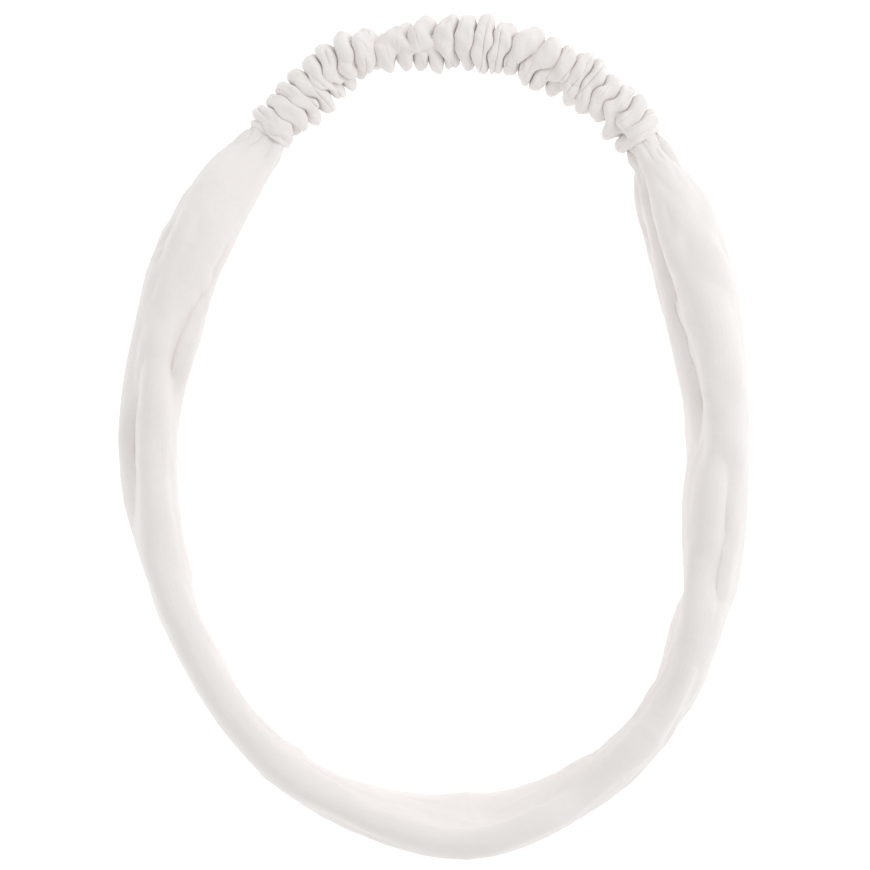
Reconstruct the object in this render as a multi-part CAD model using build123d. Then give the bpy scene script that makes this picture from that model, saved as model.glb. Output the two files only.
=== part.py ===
"""Soft stretch headband: a wide cloth band gathered at both ends into a shirred elastic back.

The band stands open on its long edge, as it does when it is put down on a table.
Millimetres, +Z up. The origin is the centre of the loop on the surface that it stands on,
+Y points to the elastic back and -Y to the front of the head.
"""
import os
from math import cos, pi, radians, sin

from build123d import *

# The elastic back: one arc, seen from above
BACK_CENTRE = (4.4, 41.2)
BACK_RADIUS = 50.8
BACK_LEFT_DEG = 147.0
BACK_RIGHT_DEG = 31.5
BACK_HEIGHT = 7.0            # height of the casing's middle line above the table
DEG_PER_MM = 360 / (2 * pi * BACK_RADIUS)

CASING_R = 5.7               # shirred cloth tube, outside its gathers
POCKET_R = 4.7               # inside of the casing's ends, round the band's gathered ends
POCKET_DEPTH = 7.0
TAIL_R = 4.4                 # the band's ends, gathered and tucked into the casing
TAIL_LENGTH = 6.5
END_HALF_WIDTH = TAIL_R + 0.3    # the band where it leaves the casing

ELASTIC_WIDTH = 6.0          # flat woven elastic, standing on edge against the head
ELASTIC_THICKNESS = 1.0
ELASTIC_GRIP = 4.0           # length held inside each gathered end
CHANNEL_GAP = 0.3            # free space round what lies inside the cloth

CASING_SEAM_WIDTH = 3.0      # seam allowance inside the casing, above the elastic
CASING_SEAM_THICKNESS = 0.8
CASING_SEAM_HEIGHT = 4.0     # above the casing's middle line
CASING_SEAM_FROM = 9.8       # distance of its ends from the casing's ends
CASING_SEAM_ROOM_FROM = 8.4  # the same for the free space round it

# The cloth band
SINK = 2.5                   # the sections run below the table, so the underside is cut flat
SEAM_LOW = 5.0               # underside of the long seam inside the tube
SEAM_WIDTH = 6.0             # the seam's turned-in edges, standing on edge
SEAM_THICKNESS = 0.8
SEAM_ROOM = 0.8              # free space all round the seam

# The front, where the loop opens
FRONT_X = 8.7
FRONT_Y = -89.4
FRONT_HALF_WIDTH = 8.0
FRONT_TOP = 32.0
NOSE_R = FRONT_HALF_WIDTH + 0.2
SOCKET_R = NOSE_R + 0.3

# Stitching
TACK_R = 0.25                # thread through the elastic's ends
TACK_PITCH = 1.6
TACK_COUNT = 3
TACK_HOLE_R = 0.35
ELASTIC_HOLE_R = 0.6
TACK_LENGTH = 4.8
BAND_HOLE_LENGTH = 17.6      # right through a gathered end
ELASTIC_HOLE_LENGTH = 4.0    # right through the elastic
STITCH_R = 0.2               # thread round the casing's ends
STITCH_LENGTH = 2.2
STITCH_COUNT = 12
STITCH_INSET = 2.5           # distance of the row from the casing's end
STITCH_LIFT = 0.1            # gap between the thread and the casing

CUTTER = 400                 # a length beyond the whole band, for what cuts it

# Places that the band's middle line passes, seen from above: x, y, half of the band's width
# and its top. It is wide behind the ears, where it leans over, and narrow at the temples,
# where it stands up.
LEFT_PLACES = [
    (-45, 60, 7.5, 22),      # just below the gathered end
    (-60, 30, 8.0, 36),      # behind the ear
    (-63.5, 12, 7.9, 37),
    (-65, -6, 7.0, 38),      # the widest part of the loop
    (-53, -52, 5.3, 34),     # temple
    (-27, -81, 5.4, 32),     # forehead
    (-9, -87.2, 6.3, 32),
]
RIGHT_PLACES = [
    (27, -84, 6.6, 32),
    (49, -68, 5.0, 33),
    (62.5, -36, 6.6, 36),
    (63.5, -20, 7.7, 37),
    (65, 0, 7.3, 38),
    (60, 35, 8.4, 34),
    (51, 60, 6.6, 20),
]

# The long seam inside each half, as shares of the middle line from its left end
LEFT_SEAM = (0.11, 0.38)
RIGHT_SEAM = (0.66, 0.87)
SEAM_ROOM_SHARE = 0.03       # how much further the free space round a seam runs
SEAM_STEPS = 8


def on_back(angle_deg, radius=BACK_RADIUS, height=BACK_HEIGHT):
    """A point beside the elastic back's middle line."""
    a = radians(angle_deg)
    return Vector(BACK_CENTRE[0] + radius * cos(a), BACK_CENTRE[1] + radius * sin(a), height)


def across_back(angle_deg, height=BACK_HEIGHT):
    """The plane across the elastic back: its x points outwards and its y points up."""
    a = radians(angle_deg)
    return Plane(
        origin=on_back(angle_deg, height=height),
        x_dir=(cos(a), sin(a), 0),
        z_dir=(sin(a), -cos(a), 0),
    )


def along_back(profile, start_deg, end_deg, height=BACK_HEIGHT):
    """Sweep a profile clockwise along the back, from start_deg down to end_deg."""
    centre = (BACK_CENTRE[0], BACK_CENTRE[1], height)
    path = CenterArc(centre, BACK_RADIUS, start_deg, end_deg - start_deg)
    return sweep(across_back(start_deg, height) * profile, path=path)


def band_places():
    """Every place of the band, from the left end of the back round the front to the right end."""
    left_end = on_back(BACK_LEFT_DEG)
    right_end = on_back(BACK_RIGHT_DEG)
    front = (FRONT_X, FRONT_Y, FRONT_HALF_WIDTH, FRONT_TOP)
    end_top = BACK_HEIGHT + END_HALF_WIDTH
    first = (left_end.X, left_end.Y, END_HALF_WIDTH, end_top)
    final = (right_end.X, right_end.Y, END_HALF_WIDTH, end_top)
    return [first, *LEFT_PLACES, front, *RIGHT_PLACES, final]


def band_middle():
    """The band's middle line, a smooth curve through its places."""
    return Spline([(x, y) for x, y, _, _ in band_places()])


def whole_band():
    """The band's cloth, folded into a soft roll: one loft of upright oval sections."""
    middle = band_middle()
    places = band_places()
    sections = []
    for i, (x, y, half_width, top) in enumerate(places):
        low = -SINK
        tangent = middle % middle.param_at_point(Vector(x, y))
        if i == 0:
            low = BACK_HEIGHT - half_width
            tangent = across_back(BACK_LEFT_DEG).z_dir * -1
        if i == len(places) - 1:
            low = BACK_HEIGHT - half_width
            tangent = across_back(BACK_RIGHT_DEG).z_dir
        inward = Vector(-tangent.Y, tangent.X, 0)
        plane = Plane(origin=(x, y, (low + top) / 2), x_dir=inward, z_dir=tangent)
        sections.append(plane * Ellipse(half_width, (top - low) / 2))
    return loft(sections)


def table_cut(solid):
    """Keep what stands above the table, which leaves a flat underside."""
    return split(solid, bisect_by=Plane.XY, keep=Keep.TOP)


def gathered_end(end_deg, inward_sign):
    """The pleated end of the band that is tucked into the casing, with its slot for the elastic."""
    inner_deg = end_deg + inward_sign * TAIL_LENGTH * DEG_PER_MM
    tail = along_back(Circle(TAIL_R), max(end_deg, inner_deg), min(end_deg, inner_deg))
    grip_deg = inner_deg - inward_sign * (ELASTIC_GRIP + CHANNEL_GAP) * DEG_PER_MM
    beyond_deg = inner_deg + inward_sign * DEG_PER_MM
    slot = Rectangle(ELASTIC_THICKNESS + 2 * CHANNEL_GAP, ELASTIC_WIDTH + 2 * CHANNEL_GAP)
    tail -= along_back(slot, max(grip_deg, beyond_deg), min(grip_deg, beyond_deg))
    return tail


def elastic_end_deg(end_deg, inward_sign):
    """Where the elastic stops inside a gathered end."""
    return end_deg + inward_sign * (TAIL_LENGTH - ELASTIC_GRIP) * DEG_PER_MM


def thread_posts(end_deg, inward_sign, radius, length):
    """Short posts across the elastic's end, one for each thread of the tack."""
    first_deg = elastic_end_deg(end_deg, inward_sign) + inward_sign * DEG_PER_MM
    posts = []
    for row in range(2):
        angle = first_deg + inward_sign * row * TACK_PITCH * DEG_PER_MM
        for i in range(TACK_COUNT):
            up = (i - (TACK_COUNT - 1) / 2) * TACK_PITCH
            post = Rotation(0, 90, 0) * Cylinder(radius, length)
            posts.append(across_back(angle, BACK_HEIGHT + up) * post)
    return posts


def upright_strip(start, end, thickness, low, high):
    """A strip that stands on edge along part of the band's middle line."""
    middle = band_middle()
    sides = []
    for side in (-1, 1):
        reach = side * thickness / 2
        points = []
        for i in range(SEAM_STEPS + 1):
            share = start + (end - start) * i / SEAM_STEPS
            point = middle @ share
            tangent = middle % share
            points.append((point.X - reach * tangent.Y, point.Y + reach * tangent.X))
        sides.append(Spline(points))
    one, other = sides
    outline = make_face([one, Line(one @ 1, other @ 1), other, Line(one @ 0, other @ 0)])
    return Pos(0, 0, low) * extrude(outline, high - low)


def seam_strip(span):
    """The two turned-in edges of the tube's long seam, sewn together."""
    start, end = span
    return upright_strip(start, end, SEAM_THICKNESS, SEAM_LOW, SEAM_LOW + SEAM_WIDTH)


def seam_room(span):
    """The free space inside the tube, round the long seam."""
    start = span[0] - SEAM_ROOM_SHARE
    end = span[1] + SEAM_ROOM_SHARE
    low = SEAM_LOW - SEAM_ROOM
    high = SEAM_LOW + SEAM_WIDTH + SEAM_ROOM
    return upright_strip(start, end, SEAM_THICKNESS + 2 * SEAM_ROOM, low, high)


def band_halves():
    """The cloth band, parted at the front where the loop opens."""
    band = table_cut(whole_band())
    band -= seam_room(LEFT_SEAM)
    band -= seam_room(RIGHT_SEAM)
    right_side = Pos(FRONT_X + CUTTER / 2, 0, 0) * Box(CUTTER, CUTTER, CUTTER)
    nose = Pos(FRONT_X, FRONT_Y, 0) * Cylinder(NOSE_R, CUTTER)
    socket = Pos(FRONT_X, FRONT_Y, 0) * Cylinder(SOCKET_R, CUTTER)
    right = band & (right_side + nose)
    left = band - (right_side + socket)
    left += gathered_end(BACK_LEFT_DEG, -1)
    right += gathered_end(BACK_RIGHT_DEG, 1)
    for hole in thread_posts(BACK_LEFT_DEG, -1, TACK_HOLE_R, BAND_HOLE_LENGTH):
        left -= hole
    for hole in thread_posts(BACK_RIGHT_DEG, 1, TACK_HOLE_R, BAND_HOLE_LENGTH):
        right -= hole
    return left, right


def casing():
    """The shirred cloth tube, with pockets for the band's ends and room for the elastic."""
    tube = along_back(Circle(CASING_R), BACK_LEFT_DEG, BACK_RIGHT_DEG)
    depth = POCKET_DEPTH * DEG_PER_MM
    tube -= along_back(Circle(POCKET_R), BACK_LEFT_DEG, BACK_LEFT_DEG - depth)
    tube -= along_back(Circle(POCKET_R), BACK_RIGHT_DEG + depth, BACK_RIGHT_DEG)
    channel = Rectangle(ELASTIC_THICKNESS + 2 * CHANNEL_GAP, ELASTIC_WIDTH + 2 * CHANNEL_GAP)
    tube -= along_back(channel, BACK_LEFT_DEG, BACK_RIGHT_DEG)
    room = Rectangle(CASING_SEAM_WIDTH + 2 * CHANNEL_GAP, CASING_SEAM_THICKNESS + 2 * CHANNEL_GAP)
    inset = CASING_SEAM_ROOM_FROM * DEG_PER_MM
    height = BACK_HEIGHT + CASING_SEAM_HEIGHT
    tube -= along_back(room, BACK_LEFT_DEG - inset, BACK_RIGHT_DEG + inset, height)
    return tube


def casing_seam():
    """The casing's own seam allowance, a flat strip above the elastic."""
    strip = Rectangle(CASING_SEAM_WIDTH, CASING_SEAM_THICKNESS)
    inset = CASING_SEAM_FROM * DEG_PER_MM
    height = BACK_HEIGHT + CASING_SEAM_HEIGHT
    return along_back(strip, BACK_LEFT_DEG - inset, BACK_RIGHT_DEG + inset, height)


def elastic():
    """The flat elastic, from inside one gathered end to inside the other."""
    start = elastic_end_deg(BACK_LEFT_DEG, -1)
    end = elastic_end_deg(BACK_RIGHT_DEG, 1)
    strip = along_back(Rectangle(ELASTIC_THICKNESS, ELASTIC_WIDTH), start, end)
    for hole in thread_posts(BACK_LEFT_DEG, -1, ELASTIC_HOLE_R, ELASTIC_HOLE_LENGTH):
        strip -= hole
    for hole in thread_posts(BACK_RIGHT_DEG, 1, ELASTIC_HOLE_R, ELASTIC_HOLE_LENGTH):
        strip -= hole
    return strip


def elastic_tack(end_deg, inward_sign):
    """The threads that hold one end of the elastic, as separate solids."""
    return Compound(children=thread_posts(end_deg, inward_sign, TACK_R, TACK_LENGTH))


def join_stitches(end_deg, inward_sign):
    """The row of stitches round one end of the casing, as separate solids."""
    angle = end_deg + inward_sign * STITCH_INSET * DEG_PER_MM
    reach = CASING_R + STITCH_R + STITCH_LIFT
    stitches = []
    for i in range(STITCH_COUNT):
        turn = 360 * (i + 0.5) / STITCH_COUNT
        stitch = Rot(0, 0, turn) * Pos(reach, 0, 0) * Rot(90, 0, 0) * Cylinder(STITCH_R, STITCH_LENGTH)
        stitches.append(across_back(angle) * stitch)
    return Compound(children=stitches)


def main():
    os.makedirs("parts", exist_ok=True)
    band_left, band_right = band_halves()
    nodes = {
        "band_left": band_left,
        "band_right": band_right,
        "band_seam_left": seam_strip(LEFT_SEAM),
        "band_seam_right": seam_strip(RIGHT_SEAM),
        "elastic_casing": casing(),
        "casing_seam": casing_seam(),
        "elastic_strip": elastic(),
        "elastic_tack_left": elastic_tack(BACK_LEFT_DEG, -1),
        "elastic_tack_right": elastic_tack(BACK_RIGHT_DEG, 1),
        "join_stitches_left": join_stitches(BACK_LEFT_DEG, -1),
        "join_stitches_right": join_stitches(BACK_RIGHT_DEG, 1),
    }
    for name, shape in nodes.items():
        export_step(shape, f"parts/{name}.step")
    print("band middle line", round(band_middle().length, 1), "mm")
    print("elastic back", round((BACK_LEFT_DEG - BACK_RIGHT_DEG) / DEG_PER_MM, 1), "mm")


main()
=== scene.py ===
"""Looks for the soft ivory headband: folded knit band, shirred elastic back, seams and stitches."""
import math

import bpy
import numpy as np
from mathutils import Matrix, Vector
from mathutils.bvhtree import BVHTree


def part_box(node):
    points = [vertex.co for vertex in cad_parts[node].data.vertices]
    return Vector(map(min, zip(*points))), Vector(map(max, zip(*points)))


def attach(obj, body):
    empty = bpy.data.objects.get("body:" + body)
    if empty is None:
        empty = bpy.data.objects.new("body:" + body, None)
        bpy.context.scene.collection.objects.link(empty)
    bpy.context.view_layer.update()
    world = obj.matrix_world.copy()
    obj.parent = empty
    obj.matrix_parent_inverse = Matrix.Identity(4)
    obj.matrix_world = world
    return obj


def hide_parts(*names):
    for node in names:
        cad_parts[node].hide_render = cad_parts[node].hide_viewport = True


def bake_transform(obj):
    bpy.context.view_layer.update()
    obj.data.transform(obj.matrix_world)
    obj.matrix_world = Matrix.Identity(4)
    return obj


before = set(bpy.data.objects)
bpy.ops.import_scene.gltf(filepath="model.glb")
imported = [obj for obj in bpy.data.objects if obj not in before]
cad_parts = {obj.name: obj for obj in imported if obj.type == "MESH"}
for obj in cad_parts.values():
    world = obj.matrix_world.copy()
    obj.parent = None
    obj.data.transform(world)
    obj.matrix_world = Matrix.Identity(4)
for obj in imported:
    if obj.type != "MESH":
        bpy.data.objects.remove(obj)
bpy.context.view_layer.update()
MM = 0.001

# ---------------------------------------------------------------- driving sizes
CLOTH = 0.9 * MM                  # one layer of brushed knit
CASING_CLOTH = 0.5 * MM           # the casing's layer, pressed thin in its gathers
LAYER_GAP = 1.7 * MM              # between the middles of the tube's two layers
SHEET_INSET = 2.5                 # mm from the band's outer shape in to its middle sheet
HEAD_SIDE_REACH = 1.1             # mm further that the sheet reaches on the side facing the head
NECK_FLARE = 1.8                  # mm that its outer side widens by, just beyond the casing
NECK_FLARE_AT = 18.0              # mm from the band's ends to the widest of the flare
BAND_ROWS = 400                   # rows of the band's mesh along its length
BAND_ACROSS = 62                  # points from the outer lower edge to the inner one
BAND_AROUND = 2 * BAND_ACROSS - 2
SPINE = 66.0                      # width of the flat tube, mm
TUCK = 3.0                        # mm of the band's ends that are modelled inside the casing
BAND_CUT = (0.124, 0.402)         # flat cloth of the band, before it was sewn into a tube
SEAM_EDGE = 3.0                   # mm of cloth turned in on each side of the casing's seam
CASING_FULLNESS = 1.75            # length of the casing's cut over its gathered length

# How the cloth is folded across the band, seen in section: distance from the middle line in
# half-widths (+1 is the outside of the loop) and height as a share of the full height,
# from the outer lower edge over the top to the inner lower edge.
FOLDS = {
    "neck": [
        (.35, .18), (.92, .45), (.80, .86), (.30, .97), (.02, .93),
        (-.28, 1.0), (-.78, .88), (-.95, .50), (-.35, .15),
    ],
    "arch": [
        (.60, .02), (.97, .30), (.93, .66), (.66, .90), (.20, 1.0),
        (-.30, .98), (-.74, .86), (-.97, .50), (-.62, .04),
    ],
    "thin_ledge": [
        (.70, .02), (1.0, .36), (.92, .74), (.62, .93), (.10, 1.0),
        (-.55, .97), (-.78, .84), (-.97, .78), (-.80, .04),
    ],
    "wide_ledge": [
        (.72, .02), (1.0, .40), (.88, .74), (.44, .86), (.14, 1.0),
        (-.20, .97), (-.36, .85), (-.93, .82), (-.80, .04),
    ],
    "wing": [
        (.78, .02), (1.0, .42), (.90, .74), (.30, .82), (.10, .98),
        (-.34, 1.0), (-.74, .88), (-.96, .50), (-.66, .04),
    ],
    "thin_wing": [
        (.74, .02), (1.0, .34), (.97, .62), (.80, .80), (.52, .97),
        (-.20, 1.0), (-.66, .88), (-.93, .50), (-.90, .04),
    ],
    "foot": [
        (.62, .02), (.97, .30), (.93, .66), (.66, .90), (.15, 1.0),
        (-.34, .97), (-.60, .78), (-.72, .42), (-1.0, .06),
    ],
    "broad": [
        (.80, .03), (1.0, .40), (.95, .74), (.60, .91), (.26, .90),
        (-.30, 1.0), (-.80, .86), (-1.0, .45), (-.74, .03),
    ],
    "shelf": [
        (.70, .02), (1.0, .42), (.92, .78), (.55, .97), (.02, 1.0),
        (-.44, .93), (-.52, .62), (-.88, .54), (-.94, .04),
    ],
    "lean": [
        (.80, .03), (1.0, .35), (1.0, .72), (.74, .96), (.34, 1.0),
        (.14, .88), (-.34, .66), (-.84, .38), (-.98, .03),
    ],
}

# Which fold the cloth takes where, as shares of the band's length from its left end
FOLD_PLACES = [
    (.00, "neck"), (.035, "arch"), (.085, "thin_ledge"), (.15, "wide_ledge"),
    (.185, "wing"), (.225, "wing"), (.265, "thin_wing"), (.31, "foot"),
    (.37, "foot"), (.43, "arch"), (.475, "lean"), (.56, "lean"),
    (.61, "arch"), (.655, "arch"), (.69, "foot"), (.735, "broad"),
    (.79, "broad"), (.82, "shelf"), (.96, "shelf"), (1.0, "neck"),
]

# Pleats pressed over the cloth, each a sharp step that fades away to one side: start and end
# as shares of the band's length, start and end across it (0 outer lower edge, 1 inner lower
# edge), reach in mm (towards the inner edge, or the outer one if negative), depth in mm
PLEATS = [
    (.07, .16, .78, .62, 4, 1.0),
    (.11, .25, .46, .30, -4, 1.2),
    (.18, .28, .66, .60, 4, .8),
    (.28, .38, .54, .66, 4, .6),
    (.38, .48, .58, .70, 5, .7),
    (.44, .57, .36, .52, -7, 1.2),
    (.52, .66, .46, .68, 7, 1.1),
    (.60, .72, .72, .58, 4, .9),
    (.66, .80, .28, .36, -5, .9),
    (.76, .87, .62, .70, 4, .7),
    (.80, .92, .42, .30, -5, .8),
    (.91, .98, .40, .58, 4, .6),
]

# Creases of four sizes: reach along the band (mm) and across it (share), depth (mm), width and
# how much of the cloth they cover
CREASES = [
    (95, .42, .50, .20, .35),
    (60, .30, .35, .20, .20),
    (34, .34, .25, .22, .00),
    (22, .50, .18, .24, -.10),
]

# The cloth simulation, on a coarse copy of the sheet
SETTLE_ROWS = 132
SETTLE_ACROSS = 30
SETTLE_FRAMES = 14
SETTLE_GROW = 0.05                # how much larger the cloth is than its folded shape
SETTLE_HELD = 6                   # mm at each end of the band that stay in place
SETTLE_CAP = 1.2 * MM             # the most that any point is allowed to move
SETTLE_GAP = 1.0 * MM             # least distance between two layers

# The gathers of the casing, mm
GATHER_PITCH = 8.8                # length of one wave, which makes two gathers
LESSER_PITCH = 5.4                # the same for the gathers that only dent the puffs
MOUTH_LENGTH = 2.4                # stretch of each end that closes on the band's cloth
MOUTH_INSET = 1.3                 # how much narrower the casing is at its mouths
CASING_WIDENING = 1.1             # how much it is widened sideways


# ---------------------------------------------------------------- curves and noise
def smooth(keys, values, at):
    """Values between the keys on a smooth curve through them."""
    keys, values, at = np.asarray(keys, float), np.asarray(values, float), np.asarray(at, float)
    shape = (len(keys),) + (1,) * (values.ndim - 1)
    slope = np.gradient(values, axis=0) / np.gradient(keys).reshape(shape)
    i = np.clip(np.searchsorted(keys, at, side="right") - 1, 0, len(keys) - 2)
    step = keys[i + 1] - keys[i]
    t = np.clip((at - keys[i]) / step, 0, 1)
    t = t.reshape(t.shape + (1,) * (values.ndim - 1))
    step = step.reshape(t.shape)
    h00, h10 = 2 * t**3 - 3 * t**2 + 1, t**3 - 2 * t**2 + t
    h01, h11 = 3 * t**2 - 2 * t**3, t**3 - t**2
    return h00 * values[i] + h10 * step * slope[i] + h01 * values[i + 1] + h11 * step * slope[i + 1]


def even(points, count):
    """The same line with evenly spaced points."""
    along = np.concatenate([[0], np.cumsum(np.linalg.norm(np.diff(points, axis=0), axis=1))])
    at = np.linspace(0, along[-1], count)
    return np.stack([np.interp(at, along, points[:, k]) for k in range(points.shape[1])], axis=1)


def ripple(rng, x, y, reach_x, reach_y, count=14):
    """Smooth unevenness of about unit height, as a sum of waves of mixed direction."""
    total = np.zeros(np.broadcast(x, y).shape)
    for _ in range(count):
        a, b = rng.normal(0, 1, 2)
        total += np.sin(2 * np.pi * (a * x / reach_x + b * y / reach_y) + rng.uniform(0, 2 * np.pi))
    return total / math.sqrt(count / 2)


def creases(rng, x, y, reach_x, reach_y, width, cover=0.0):
    """Thin valleys that wander and fade, from 0 to 1 deep."""
    line = ripple(rng, x, y, reach_x, reach_y, 10)
    there = np.clip(ripple(rng, x, y, reach_x * 0.8, reach_y * 2.2, 10) + cover, 0, 1)
    return np.exp(-((line / width) ** 2)) * there


def add_mesh(name, verts, faces, uvs=None):
    """A smooth-shaded mesh object; uvs are per vertex."""
    mesh = bpy.data.meshes.new(name)
    mesh.from_pydata([tuple(v) for v in verts], [], [tuple(int(i) for i in f) for f in faces])
    mesh.polygons.foreach_set("use_smooth", [True] * len(mesh.polygons))
    if uvs is not None:
        layer = mesh.uv_layers.new(name="cloth")
        loops = np.zeros(len(mesh.loops), np.int32)
        mesh.loops.foreach_get("vertex_index", loops)
        layer.data.foreach_set("uv", np.asarray(uvs, float)[loops].ravel())
    obj = bpy.data.objects.new(name, mesh)
    bpy.context.scene.collection.objects.link(obj)
    return obj


def tube_faces(rows, around):
    """Quads of a tube whose rows are closed rings."""
    r, c = np.meshgrid(np.arange(rows - 1), np.arange(around), indexing="ij")
    a = r * around + c
    b = r * around + (c + 1) % around
    return np.stack([a, b, b + around, a + around], axis=-1).reshape(-1, 4)


# ---------------------------------------------------------------- places, read from the CAD
def node_mesh(name):
    """A CAD node's mesh points, in mm, and its faces."""
    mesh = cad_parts[name].data
    points = np.zeros(len(mesh.vertices) * 3)
    mesh.vertices.foreach_get("co", points)
    return points.reshape(-1, 3) / MM, [list(p.vertices) for p in mesh.polygons]


def back_arc():
    """The elastic back's middle line: centre, radius and height, and its two end angles."""
    strip, _ = node_mesh("elastic_strip")
    x, y = strip[:, 0], strip[:, 1]
    fit, *_ = np.linalg.lstsq(np.stack([2 * x, 2 * y, np.ones_like(x)], axis=1), x * x + y * y, rcond=None)
    centre = fit[:2]
    radius = math.sqrt(fit[2] + centre @ centre)
    casing, _ = node_mesh("elastic_casing")
    turn = np.arctan2(casing[:, 1] - centre[1], casing[:, 0] - centre[0])
    height = (casing[:, 2].min() + casing[:, 2].max()) / 2
    return centre, radius, height, turn.max(), turn.min()


BACK_CENTRE, BACK_RADIUS, BACK_HEIGHT, BACK_LEFT, BACK_RIGHT = back_arc()
CASING_R = (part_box("elastic_casing")[1][2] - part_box("elastic_casing")[0][2]) / 2 / MM
BACK_LENGTH = BACK_RADIUS * (BACK_LEFT - BACK_RIGHT)
# flat cloth of the casing: its girth and both seam edges, by its gathered length let out
CASING_CUT = (
    (2 * math.pi * (CASING_R - CASING_CLOTH / MM / 2) + 2 * SEAM_EDGE) * MM,
    CASING_FULLNESS * BACK_LENGTH * MM,
)


def back_point(angle, radial, up):
    """A point beside the elastic back's middle line, in mm; angle in radians."""
    r = BACK_RADIUS + radial
    return np.stack(
        [BACK_CENTRE[0] + r * np.cos(angle), BACK_CENTRE[1] + r * np.sin(angle), BACK_HEIGHT + up], axis=-1
    )


def band_course():
    """The band's middle line, half-width and height, measured on its CAD solids: points from
    the left end of the casing round the front to the right end, in mm."""
    points, faces = [], []
    for name in ("band_left", "band_right"):
        some, their = node_mesh(name)
        faces += [[len(points) + i for i in f] for f in their]
        points += some.tolist()
    tree = BVHTree.FromPolygons(points, faces)

    def span(place, direction, height):
        """The outermost surfaces on both sides of a place."""
        far = 30
        reach = []
        for sign in (-1, 1):
            start = Vector((*(place + sign * far * direction), height))
            hit = tree.ray_cast(start, Vector((*(-sign * direction), 0)), 2 * far)[0]
            reach.append(np.array(hit[:2]) if hit is not None else place)
        return reach

    left = back_point(np.array(BACK_LEFT), 0, 0)
    right = back_point(np.array(BACK_RIGHT), 0, 0)
    first = math.atan2(left[1], left[0])
    last = math.atan2(right[1], right[0]) + 2 * math.pi
    rough = [left[:2]]
    for turn in np.linspace(first, last, 64)[2:-2]:
        ray = np.array([math.cos(turn), math.sin(turn)])
        hit = tree.ray_cast(Vector((0, 0, BACK_HEIGHT)), Vector((*ray, 0)), 200)[0]
        inner, outer = span(np.array(hit[:2]), ray, BACK_HEIGHT)
        rough.append((inner + outer) / 2)
    rough.append(right[:2])
    rough = even(np.array(rough), 90)
    tangent = np.gradient(rough, axis=0)
    tangent /= np.linalg.norm(tangent, axis=1)[:, None]
    course = [(left[0], left[1], CASING_R - 0.5, BACK_HEIGHT + CASING_R - 0.5)]
    for place, run in list(zip(rough, tangent))[2:-2]:
        top = tree.ray_cast(Vector((*place, 100)), Vector((0, 0, -1)), 200)[0][2]
        inner, outer = span(place, np.array([run[1], -run[0]]), top / 2)
        course.append((*(inner + outer) / 2, np.linalg.norm(outer - inner) / 2, top))
    course.append((right[0], right[1], CASING_R - 0.5, BACK_HEIGHT + CASING_R - 0.5))
    return np.array(course)


# ---------------------------------------------------------------- cloth simulation
def relax(obj, hold, stiffness, bending):
    """How far each point moves when the cloth, a little too large for its shape, settles."""
    scale = 10                     # simulated ten times as large, where the solver is steady
    start = np.zeros(len(obj.data.vertices) * 3)
    obj.data.vertices.foreach_get("co", start)
    obj.data.vertices.foreach_set("co", start * scale)
    group = obj.vertex_groups.new(name="hold")
    for i, w in enumerate(hold):
        group.add([i], float(w), "REPLACE")
    cloth = obj.modifiers.new("cloth", "CLOTH")
    st = cloth.settings
    st.quality = 6
    st.mass = 0.25
    st.air_damping = 4
    st.tension_stiffness = st.compression_stiffness = stiffness
    st.shear_stiffness = stiffness / 3
    st.bending_stiffness = bending
    st.tension_damping = st.compression_damping = st.shear_damping = 12
    st.shrink_min = -SETTLE_GROW
    st.shrink_max = -SETTLE_GROW
    st.vertex_group_mass = "hold"
    st.pin_stiffness = 2.0
    st.effector_weights.gravity = 0
    hits = cloth.collision_settings
    hits.use_collision = False
    hits.use_self_collision = True
    hits.self_distance_min = SETTLE_GAP * scale
    hits.self_friction = 5
    hits.collision_quality = 3
    scene = bpy.context.scene
    for f in range(1, SETTLE_FRAMES + 1):
        scene.frame_set(f)
    shown = obj.evaluated_get(bpy.context.evaluated_depsgraph_get())
    end = np.zeros(len(obj.data.vertices) * 3)
    shown.data.vertices.foreach_get("co", end)
    obj.modifiers.remove(cloth)
    scene.frame_set(1)
    move = end.reshape(-1, 3) / scale - start.reshape(-1, 3)
    far = np.linalg.norm(move, axis=1)
    print(f"{obj.name}: moved {far.mean() / MM:.2f} mm on average, {far.max() / MM:.2f} at most")
    return move * np.minimum(1, SETTLE_CAP / np.maximum(far, 1e-9))[:, None]


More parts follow.
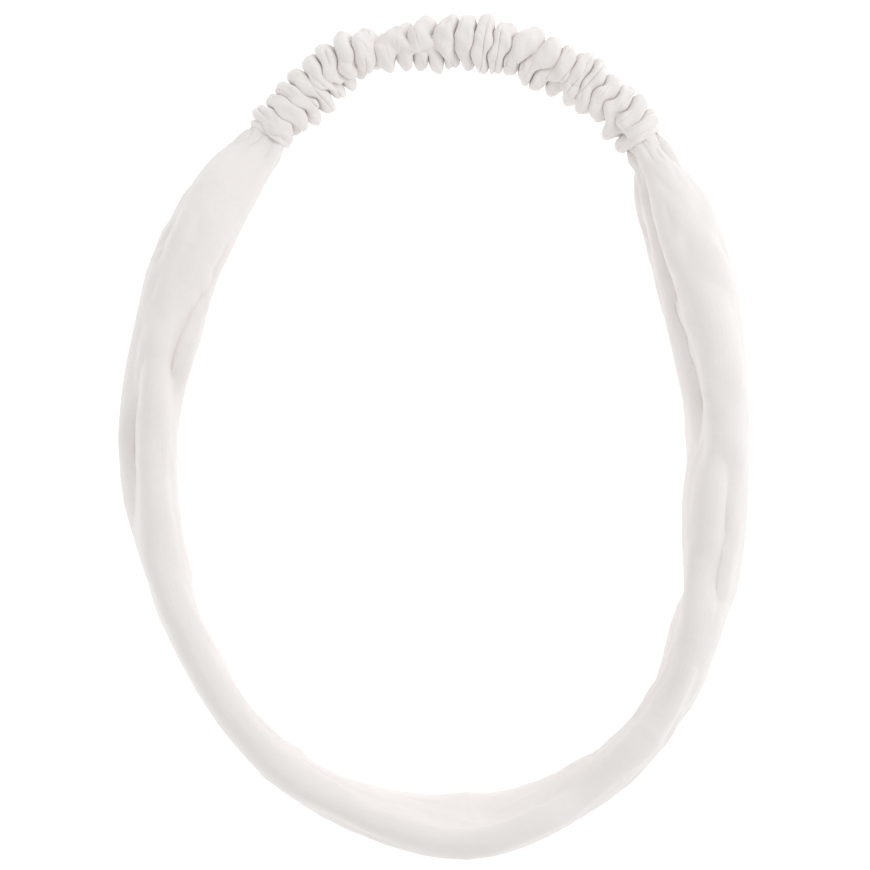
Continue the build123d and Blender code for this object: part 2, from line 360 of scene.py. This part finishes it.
# ---------------------------------------------------------------- the band
def band_sheet(rows, across):
    """The folded cloth's middle sheet, in mm: rows of points from the outer lower edge over
    the top to the inner lower edge, and how far along the band each row is."""
    rng = np.random.default_rng(11)
    course = band_course()
    # the ends run on into the casing, along the back's own arc
    tuck = np.array([TUCK, 0.6 * TUCK]) / BACK_RADIUS
    left_tuck = [(*back_point(np.array(BACK_LEFT - a), 0, 0)[:2], *course[0][2:]) for a in tuck]
    right_tuck = [(*back_point(np.array(BACK_RIGHT + a), 0, 0)[:2], *course[-1][2:]) for a in tuck[::-1]]
    course = np.array([*left_tuck, *course, *right_tuck])
    keys = np.concatenate([[0], np.cumsum(np.linalg.norm(np.diff(course[:, :2], axis=0), axis=1))])
    along = keys[-1] * np.linspace(0, 1, rows)
    fine = smooth(keys, course, along)
    for _ in range(6):
        fine[1:-1] = (fine[:-2] + 2 * fine[1:-1] + fine[2:]) / 4
    line, half, high = fine[:, :2], fine[:, 2] - SHEET_INSET, fine[:, 3]
    tangent = np.gradient(line, axis=0)
    tangent /= np.linalg.norm(tangent, axis=1)[:, None]
    outward = np.stack([tangent[:, 1], -tangent[:, 0]], axis=1)
    ends = np.minimum(along, keys[-1] - along)
    high -= 0.9 * (1 + ripple(rng, along, 0 * along, 60, 1, 6)) * np.clip(ends / 40, 0, 1)
    flare = NECK_FLARE * np.exp(-(((ends - NECK_FLARE_AT) / 10) ** 2))
    half = half + flare
    head_side = 1 + (HEAD_SIDE_REACH * np.clip(ends / 20, 0, 1) - flare) / half
    low = np.interp(ends, [0, TUCK, 20], [BACK_HEIGHT - CASING_R + 1.2, BACK_HEIGHT - CASING_R + 1.2, 1.5])
    shapes = [FOLDS[name] for _, name in FOLD_PLACES]
    folds = smooth([share for share, _ in FOLD_PLACES], shapes, along / keys[-1])
    # each fold wanders a little along the band
    for k in range(1, folds.shape[1] - 1):
        folds[:, k, 0] += 0.06 * ripple(rng, along, 0 * along, 44, 1, 6)
        folds[:, k, 1] += 0.018 * ripple(rng, along, 0 * along, 36, 1, 6)
    folds[:, :, 0] = np.clip(folds[:, :, 0], -1.0, 1.0)
    points = []
    for i in range(rows):
        flat = folds[i] * np.array([half[i], high[i] - low[i] - SHEET_INSET]) + np.array([0, low[i]])
        rounded = smooth(np.arange(len(flat)), flat, np.linspace(0, len(flat) - 1, 120))
        ring = even(rounded, across)
        ring[:, 0] = np.where(ring[:, 0] < 0, ring[:, 0] * head_side[i], ring[:, 0])
        xy = line[i] + ring[:, :1] * outward[i]
        points.append(np.concatenate([xy, ring[:, 1:]], axis=1))
    return np.array(points), along


def sheet_normals(points):
    """Unit normals of a grid of points, away from the sheet's hollow side."""
    normal = np.cross(np.gradient(points, axis=1), np.gradient(points, axis=0))
    return normal / (np.linalg.norm(normal, axis=2)[..., None] + 1e-12)


def settle(sheet, along):
    """How far each point of the sheet moves when its cloth is let go: simulated on a coarse
    copy of the sheet, which is slightly larger than its folded shape and held at its ends."""
    rows, across = SETTLE_ROWS, SETTLE_ACROSS
    coarse, rows_at = band_sheet(rows, across)
    r, c = np.meshgrid(np.arange(rows - 1), np.arange(across - 1), indexing="ij")
    a = (r * across + c).ravel()
    faces = np.stack([a, a + 1, a + across + 1, a + across], axis=1)
    obj = add_mesh("settling", coarse.reshape(-1, 3) * MM, faces)
    ends = np.minimum(rows_at, rows_at[-1] - rows_at)
    hold = np.where(ends < SETTLE_HELD, 1.0, 0.02)[:, None] + np.zeros(across)
    move = relax(obj, hold.ravel(), stiffness=8, bending=0.08)
    bpy.data.objects.remove(obj)
    move = move.reshape(rows, across, 3) / MM
    at_row = np.clip(along / along[-1] * (rows - 1), 0, rows - 1.001)
    at_col = np.clip(np.linspace(0, across - 1, sheet.shape[1]), 0, across - 1.001)
    r, c = at_row.astype(int), at_col.astype(int)
    fr, fc = (at_row - r)[:, None, None], (at_col - c)[None, :, None]
    one = move[r][:, c] * (1 - fc) + move[r][:, c + 1] * fc
    two = move[r + 1][:, c] * (1 - fc) + move[r + 1][:, c + 1] * fc
    return one * (1 - fr) + two * fr


def make_band():
    """The band: a flat tube of knit, folded over itself, pleated and wrinkled."""
    rng = np.random.default_rng(23)
    sheet, along = band_sheet(BAND_ROWS, BAND_ACROSS)
    sheet = sheet + settle(sheet, along)
    length = along[-1]
    ends = np.minimum(along, length - along)[:, None]
    x = along[:, None] + np.zeros(BAND_ACROSS)
    y = np.linspace(0, 1, BAND_ACROSS)[None, :] + np.zeros((BAND_ROWS, 1))
    bend = 0.22 * ripple(rng, x, y, 70, 0.9, 12)
    for reach_x, reach_y, depth, width, cover in CREASES:
        bend -= depth * creases(rng, x, y, reach_x, reach_y, width, cover)
    for first, last, w0, w1, reach, depth in PLEATS:
        s0, s1 = first * length, last * length
        t = np.clip((x - s0) / (s1 - s0), 0, 1)
        away = (y - (w0 + (w1 - w0) * t)) * SPINE * np.sign(reach)
        away = away + 0.8 * np.sin(x / 7.0 + s0)
        beyond = np.where(x < s0, s0 - x, np.where(x > s1, x - s1, 0)) / 4
        step = np.where(away < 0, np.exp(-((away / 1.3) ** 2)), np.exp(-away / abs(reach)))
        bend -= 0.7 * depth * step * np.exp(-(beyond**2)) * np.sin(np.pi * (0.12 + 0.76 * t))
    # pleats that fan out of both gathered ends
    fan = np.exp(-ends / 11) * np.clip(ends / 3, 0.3, 1)
    wave = 5 * y + 0.45 * ripple(rng, x, y, 50, 0.8, 6)
    bend += 0.45 * fan * (2 * np.abs(np.sin(np.pi * wave)) ** 0.7 - 1)
    sheet = sheet + sheet_normals(sheet) * bend[..., None]
    # the tube's two layers, a little apart in the middle and joined at both edges
    w = np.linspace(0, 1, BAND_ACROSS)[None, :]
    loft = LAYER_GAP / MM / 2 * (1 - np.abs(2 * w - 1) ** 10) ** 0.5
    loft = loft * (1 + 0.5 * np.sin(np.pi * w) * np.clip(ends / 40, 0, 1))
    away = sheet_normals(sheet) * loft[..., None]
    ring = np.concatenate([(sheet + away)[:, ::-1], (sheet - away)[:, 1:-1]], axis=1)
    ring[..., 2] = np.maximum(ring[..., 2], 0.5)
    turn = np.arange(BAND_AROUND) / BAND_AROUND * BAND_CUT[0] / MM
    faces = tube_faces(BAND_ROWS, BAND_AROUND)
    uv = np.stack([along[:, None] + 0 * turn, turn + 0 * along[:, None]], axis=-1) * MM
    return add_mesh("band_cloth", ring.reshape(-1, 3) * MM, faces, uv.reshape(-1, 2))


# ---------------------------------------------------------------- the shirred casing
def gathers(rng, along, turn, period, spread, count=26):
    """A field whose zero lines run round the tube, wander, meet and part, as gathers do."""
    total = np.zeros(np.broadcast(along, turn).shape)
    for _ in range(count):
        pace = 2 * np.pi / (period * rng.uniform(1 - spread, 1 + spread))
        lean = rng.choice([-1, 0, 0, 0, 1])
        total += np.sin(pace * along + lean * turn + rng.uniform(0, 2 * np.pi))
    return total / math.sqrt(count / 2)


def make_casing():
    """The casing: a tube of knit pushed together on the elastic into close, uneven gathers."""
    rng = np.random.default_rng(8)
    rows, around = 560, 84
    arc = BACK_LENGTH
    turn = np.linspace(0, 2 * np.pi, around, endpoint=False)[None, :]
    cx, cy = np.cos(turn), np.sin(turn)
    mm = np.linspace(0, arc, rows)[:, None] + 0 * turn
    end = np.minimum(mm, arc - mm)
    # main gathers, with deep narrow slits between round puffs
    wander = mm + 0.4 * ripple(rng, mm, cx * 3, 30, 7, 8)
    field = gathers(rng, wander, turn, GATHER_PITCH, 0.22)
    puff = 1 - np.exp(-(np.abs(field) / 0.32) ** 1.15)
    # lesser gathers that only dent the puffs
    lesser = gathers(rng, mm, turn, LESSER_PITCH, 0.3)
    dent = np.exp(-(lesser / 0.22) ** 2) * np.clip(0.5 + 0.8 * ripple(rng, mm, cx * 3, 16, 7, 8), 0, 1)
    depth = np.clip(2.0 + 1.1 * ripple(rng, mm, cx * 3, 20, 7, 8), 0.8, 2.7) + 3.0 * cx**2
    radius = CASING_R + 0.2 - depth * (1 - puff) - 0.8 * dent * puff
    radius += 0.42 * ripple(rng, mm, cx * 3, 15, 7, 8)
    radius -= 0.5 * creases(rng, mm, cx * 3, 9, 8, .2, .3) * puff
    radius += 0.12 * ripple(rng, mm, cy * 4, 4, 3, 12)
    # the open ends close softly on the band's cloth
    tight = CASING_R - MOUTH_INSET
    opened = tight + (np.maximum(radius, tight) - tight) * (end / MOUTH_LENGTH) ** 0.5
    radius = np.where(end < MOUTH_LENGTH, opened, radius)
    radius = np.clip(radius, 3.3 - 2.2 * cx**2, CASING_R + 0.8)
    sway = 0.7 * ripple(rng, mm[:, :1], 0 * mm[:, :1], 46, 1, 5) * np.clip(end[:, :1] / 14, 0, 1)
    angle = BACK_LEFT - (BACK_LEFT - BACK_RIGHT) * mm / arc
    verts = back_point(angle, radius * cx * CASING_WIDENING + sway, radius * cy)
    verts[..., 2] = np.maximum(verts[..., 2], 0.6)
    cut = np.stack([mm / arc * CASING_CUT[1], turn / (2 * np.pi) * CASING_CUT[0] + 0 * mm], axis=-1)
    steps = np.linalg.norm(np.diff(verts, axis=0), axis=2).sum(axis=0)
    girth = np.linalg.norm(np.roll(verts, -1, axis=1) - verts, axis=2).sum(axis=1)
    print(f"casing: the path over its gathers is {steps.mean() / arc:.2f} times its length")
    print(f"casing: girth {girth.mean():.1f} mm")
    return add_mesh("casing_cloth", verts.reshape(-1, 3) * MM, tube_faces(rows, around), cut.reshape(-1, 2))


def make_elastic():
    """The flat elastic inside the casing, with its ribbed weave along it."""
    rows, across = 160, 13
    u = np.linspace(0, 1, rows)[:, None]
    w = np.linspace(-0.5, 0.5, across)[None, :]
    grip = 2.5 / BACK_RADIUS
    angle = (BACK_LEFT - grip) + (BACK_RIGHT - BACK_LEFT + 2 * grip) * u + 0 * w
    rib = 0.12 * np.cos(2 * np.pi * w * 6)
    front = back_point(angle, 0.38 + rib + 0 * u, 5.6 * w + 0 * u)
    rear = back_point(angle, -0.38 - rib + 0 * u, 5.6 * w + 0 * u)
    ring = np.concatenate([front, rear[:, ::-1]], axis=1)
    around = 2 * across
    faces = [tuple(f) for f in tube_faces(rows, around)]
    faces.append(tuple(range(around - 1, -1, -1)))
    faces.append(tuple(range((rows - 1) * around, rows * around)))
    return add_mesh("elastic", ring.reshape(-1, 3) * MM, faces)


# ---------------------------------------------------------------- thread
def thread(name, routes, radius):
    """Round threads along short routes, as one mesh of closed pieces."""
    verts, faces = [], []
    sides = 6
    for route in routes:
        route = np.asarray(route, float)
        run = np.gradient(route, axis=0)
        run /= np.linalg.norm(run, axis=1)[:, None] + 1e-12
        up = np.array([0, 0, 1.0]) if abs(run[0][2]) < 0.9 else np.array([1.0, 0, 0])
        base = len(verts)
        for k, (p, d) in enumerate(zip(route, run)):
            a = np.cross(d, up)
            a /= np.linalg.norm(a) + 1e-12
            b = np.cross(a, d)
            slim = 0.45 if k in (0, len(route) - 1) else 1.0
            for j in range(sides):
                q = 2 * math.pi * j / sides
                verts.append(p + radius * slim * (math.cos(q) * a + math.sin(q) * b))
        n = len(route)
        faces += [tuple(base + int(i) for i in f) for f in tube_faces(n, sides)]
        faces.append(tuple(base + i for i in range(sides - 1, -1, -1)))
        faces.append(tuple(base + (n - 1) * sides + i for i in range(sides)))
    return add_mesh(name, verts, faces)


def make_join_stitches(name, casing, angle, inward):
    """A row of stitches that sinks into the casing round one of its ends."""
    tree = BVHTree.FromObject(casing, bpy.context.evaluated_depsgraph_get())
    at = angle + inward * 2.0 / BACK_RADIUS
    centre = back_point(np.array(at), 0, 0) * MM
    out = np.array([math.cos(at), math.sin(at), 0])
    routes = []
    count = 11
    for i in range(count):
        route = []
        for k in range(7):
            q = 2 * math.pi * (i + 0.16 + 0.68 * k / 6) / count
            ray = out * math.cos(q) + np.array([0, 0, math.sin(q)])
            hit = tree.ray_cast(Vector(centre + ray * 12 * MM), Vector(-ray), 12 * MM)
            if hit[0] is None:
                continue
            lift = 0.12 * MM * math.sin(math.pi * k / 6) - 0.05 * MM
            route.append(np.array(hit[0]) + ray * lift)
        if len(route) > 3:
            routes.append(route)
    return thread(name, routes, 0.17 * MM)


def make_band_seam(band):
    """The stitches of the tube's long seam, on the lower edge that faces the head."""
    count = len(band.data.vertices)
    co = np.zeros(count * 3)
    band.data.vertices.foreach_get("co", co)
    grid = co.reshape(BAND_ROWS, BAND_AROUND, 3)
    column = grid[:, 3]
    inner = grid.mean(axis=1)
    line = even(column, 1300)
    away = column - inner
    away /= np.linalg.norm(away, axis=1)[:, None] + 1e-12
    away = even(away, 1300)
    routes = []
    step = 9
    for i in range(30, 1300 - 30 - step, step):
        route = []
        for k in range(6):
            t = i + k
            lift = (0.62 * math.sin(math.pi * (k + 0.3) / 5.6)) * MM * 0.45
            route.append(line[t] + away[t] * (lift + 0.32 * MM))
        routes.append(route)
    return thread("band_seam_stitches", routes, 0.13 * MM)


# ---------------------------------------------------------------- materials
def node(nt, kind, **inputs):
    """A new shader node with constants in its sockets."""
    n = nt.nodes.new(kind)
    for key, value in inputs.items():
        n.inputs[key].default_value = value
    return n


def math_node(nt, operation, a, b=None):
    """The result of a sum on constants or sockets."""
    n = nt.nodes.new("ShaderNodeMath")
    n.operation = operation
    for slot, value in zip(n.inputs, (a, b)):
        if value is None:
            continue
        if isinstance(value, (int, float)):
            slot.default_value = value
        else:
            nt.links.new(value, slot)
    return n.outputs[0]


def knit_material(name, light, shade, pitch=0.62 * MM, knit=0.5):
    """Brushed jersey: fine wales along the cloth, a soft nap and slight changes of tone."""
    mat = bpy.data.materials.new(name)
    mat.use_nodes = True
    nt = mat.node_tree
    link = nt.links.new
    bsdf = nt.nodes["Principled BSDF"]
    uv = nt.nodes.new("ShaderNodeUVMap")
    uv.uv_map = "cloth"
    obj = nt.nodes.new("ShaderNodeTexCoord")
    split = nt.nodes.new("ShaderNodeSeparateXYZ")
    link(uv.outputs[0], split.inputs[0])
    # wales: columns of V-shaped loops that run along the band
    column = math_node(nt, "MULTIPLY", split.outputs[1], 1 / pitch)
    frac = math_node(nt, "FRACT", column)
    vee = math_node(nt, "ABSOLUTE", math_node(nt, "SUBTRACT", frac, 0.5))
    row = math_node(nt, "MULTIPLY", split.outputs[0], 1 / (pitch * 0.8))
    slant = math_node(nt, "ADD", row, math_node(nt, "MULTIPLY", vee, 1.3))
    loop = math_node(nt, "SINE", math_node(nt, "MULTIPLY", slant, 2 * math.pi))
    wale = math_node(nt, "SINE", math_node(nt, "MULTIPLY", column, 2 * math.pi))
    loops = math_node(nt, "ADD", math_node(nt, "MULTIPLY", loop, 0.5), wale)
    nap = node(nt, "ShaderNodeTexNoise", Scale=2600.0, Detail=5.0, Roughness=0.65)
    tuft = node(nt, "ShaderNodeTexNoise", Scale=520.0, Detail=4.0, Roughness=0.6)
    tone = node(nt, "ShaderNodeTexNoise", Scale=34.0, Detail=3.0, Roughness=0.5)
    for n in (nap, tuft, tone):
        link(obj.outputs["Object"], n.inputs["Vector"])
    mix = nt.nodes.new("ShaderNodeMix")
    mix.data_type = "RGBA"
    mix.inputs["A"].default_value = (*shade, 1)
    mix.inputs["B"].default_value = (*light, 1)
    broad_tone = math_node(nt, "MULTIPLY", tone.outputs["Fac"], 0.7)
    fine_tone = math_node(nt, "MULTIPLY", tuft.outputs["Fac"], 0.45)
    blend = math_node(nt, "ADD", broad_tone, fine_tone)
    blend = math_node(nt, "ADD", blend, math_node(nt, "MULTIPLY", loops, 0.04 * knit))
    link(blend, mix.inputs["Factor"])
    link(mix.outputs["Result"], bsdf.inputs["Base Color"])
    relief = math_node(nt, "MULTIPLY", loops, 0.16 * knit)
    fuzz = math_node(nt, "MULTIPLY", nap.outputs["Fac"], 0.5)
    height = math_node(nt, "ADD", relief, fuzz)
    height = math_node(nt, "ADD", height, math_node(nt, "MULTIPLY", tuft.outputs["Fac"], 0.9))
    bump = node(nt, "ShaderNodeBump", Strength=0.35, Distance=0.25 * MM)
    link(height, bump.inputs["Height"])
    link(bump.outputs[0], bsdf.inputs["Normal"])
    rough = math_node(nt, "ADD", 0.82, math_node(nt, "MULTIPLY", tuft.outputs["Fac"], 0.12))
    link(rough, bsdf.inputs["Roughness"])
    bsdf.inputs["Sheen Weight"].default_value = 0.18
    bsdf.inputs["Sheen Roughness"].default_value = 0.5
    bsdf.inputs["Specular IOR Level"].default_value = 0.2
    return mat


def thread_material(name, colour):
    """Spun thread: twisted strands with a slight lustre."""
    mat = bpy.data.materials.new(name)
    mat.use_nodes = True
    nt = mat.node_tree
    bsdf = nt.nodes["Principled BSDF"]
    obj = nt.nodes.new("ShaderNodeTexCoord")
    strands = node(nt, "ShaderNodeTexNoise", Scale=3000.0, Detail=3.0)
    nt.links.new(obj.outputs["Object"], strands.inputs["Vector"])
    mix = nt.nodes.new("ShaderNodeMix")
    mix.data_type = "RGBA"
    mix.inputs["A"].default_value = (*[0.86 * c for c in colour], 1)
    mix.inputs["B"].default_value = (*colour, 1)
    nt.links.new(strands.outputs["Fac"], mix.inputs["Factor"])
    nt.links.new(mix.outputs["Result"], bsdf.inputs["Base Color"])
    bump = node(nt, "ShaderNodeBump", Strength=0.4, Distance=0.1 * MM)
    nt.links.new(strands.outputs["Fac"], bump.inputs["Height"])
    nt.links.new(bump.outputs[0], bsdf.inputs["Normal"])
    bsdf.inputs["Roughness"].default_value = 0.6
    return mat


def give(obj, material):
    """Make this the object's only material."""
    obj.data.materials.clear()
    obj.data.materials.append(material)


def thicken(obj, thickness):
    """Real cloth thickness with rounded, subdivided folds."""
    solid = obj.modifiers.new("cloth_thickness", "SOLIDIFY")
    solid.thickness = thickness
    solid.offset = 0
    solid.use_rim = True
    fine = obj.modifiers.new("soft", "SUBSURF")
    fine.levels = fine.render_levels = 1


# ---------------------------------------------------------------- build
IVORY = (0.90, 0.868, 0.85)
IVORY_SHADE = (0.855, 0.812, 0.79)
band_mat = knit_material("ivory_knit", IVORY, IVORY_SHADE)
casing_mat = knit_material("ivory_knit_shirred", IVORY, IVORY_SHADE, pitch=0.55 * MM)
thread_mat = thread_material("ivory_thread", (0.87, 0.84, 0.81))
elastic_mat = thread_material("woven_elastic", (0.82, 0.81, 0.79))

band = make_band()
casing = make_casing()
elastic = make_elastic()
seam = make_band_seam(band)
stitches_left = make_join_stitches("join_thread_left", casing, BACK_LEFT, -1)
stitches_right = make_join_stitches("join_thread_right", casing, BACK_RIGHT, 1)
thicken(band, CLOTH)
thicken(casing, CASING_CLOTH)

give(band, band_mat)
give(casing, casing_mat)
give(elastic, elastic_mat)
for piece in (seam, stitches_left, stitches_right):
    give(piece, thread_mat)
for name in ("elastic_tack_left", "elastic_tack_right"):
    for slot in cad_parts[name].material_slots:
        slot.material = thread_mat

# ---------------------------------------------------------------- what rides on what
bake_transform(band)
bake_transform(seam)
for piece in (casing, elastic):
    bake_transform(piece)
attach(stitches_left, "left_half")
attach(stitches_right, "right_half")
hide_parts("band_left", "band_right")
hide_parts("elastic_casing", "casing_seam")
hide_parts("elastic_strip")
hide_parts("band_seam_left", "band_seam_right")
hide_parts("join_stitches_left")
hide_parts("join_stitches_right")

# ---------------------------------------------------------------- floor, light and camera
def make_floor():
    """A plain pale floor under the object."""
    size = 3.0
    corners = [(-size, -size, 0), (size, -size, 0), (size, size, 0), (-size, size, 0)]
    floor = add_mesh("floor", corners, [(0, 1, 2, 3)])
    mat = bpy.data.materials.new("floor")
    mat.use_nodes = True
    bsdf = mat.node_tree.nodes["Principled BSDF"]
    bsdf.inputs["Base Color"].default_value = (0.93, 0.93, 0.93, 1)
    bsdf.inputs["Roughness"].default_value = 1.0
    bsdf.inputs["Specular IOR Level"].default_value = 0.0
    bsdf.inputs["Emission Color"].default_value = (1, 1, 1, 1)
    bsdf.inputs["Emission Strength"].default_value = 0.45
    give(floor, mat)


def area_light(name, place, size, watts, colour=(1, 1, 1)):
    """A soft light that faces the middle of the loop."""
    data = bpy.data.lights.new(name, "AREA")
    data.energy, data.size, data.color = watts, size, colour
    obj = bpy.data.objects.new(name, data)
    bpy.context.scene.collection.objects.link(obj)
    obj.location = place
    obj.visible_camera = False
    obj.rotation_euler = (-Vector(place)).to_track_quat("-Z", "Y").to_euler()


make_floor()
area_light("key", (0.9, 0.6, 0.9), 0.9, 5.6)
area_light("fill", (-0.9, -0.5, 1.4), 1.4, 3.5)
world = bpy.data.worlds.new("studio")
world.use_nodes = True
world.node_tree.nodes["Background"].inputs["Color"].default_value = (1, 1, 1, 1)
world.node_tree.nodes["Background"].inputs["Strength"].default_value = 0.655
bpy.context.scene.world = world

VIEW_WIDTH = 0.2001               # width of the view at the height of the cloth's edges
VIEW_HEIGHT = 0.018
DISTANCE = 3.0
cam_data = bpy.data.cameras.new("camera")
cam_data.sensor_width = 36
cam_data.lens = 36 * DISTANCE / VIEW_WIDTH
cam = bpy.data.objects.new("camera", cam_data)
bpy.context.scene.collection.objects.link(cam)
cam.location = (0, 0, VIEW_HEIGHT + DISTANCE)
bpy.context.scene.camera = cam
bpy.context.scene.view_settings.view_transform = "Standard"
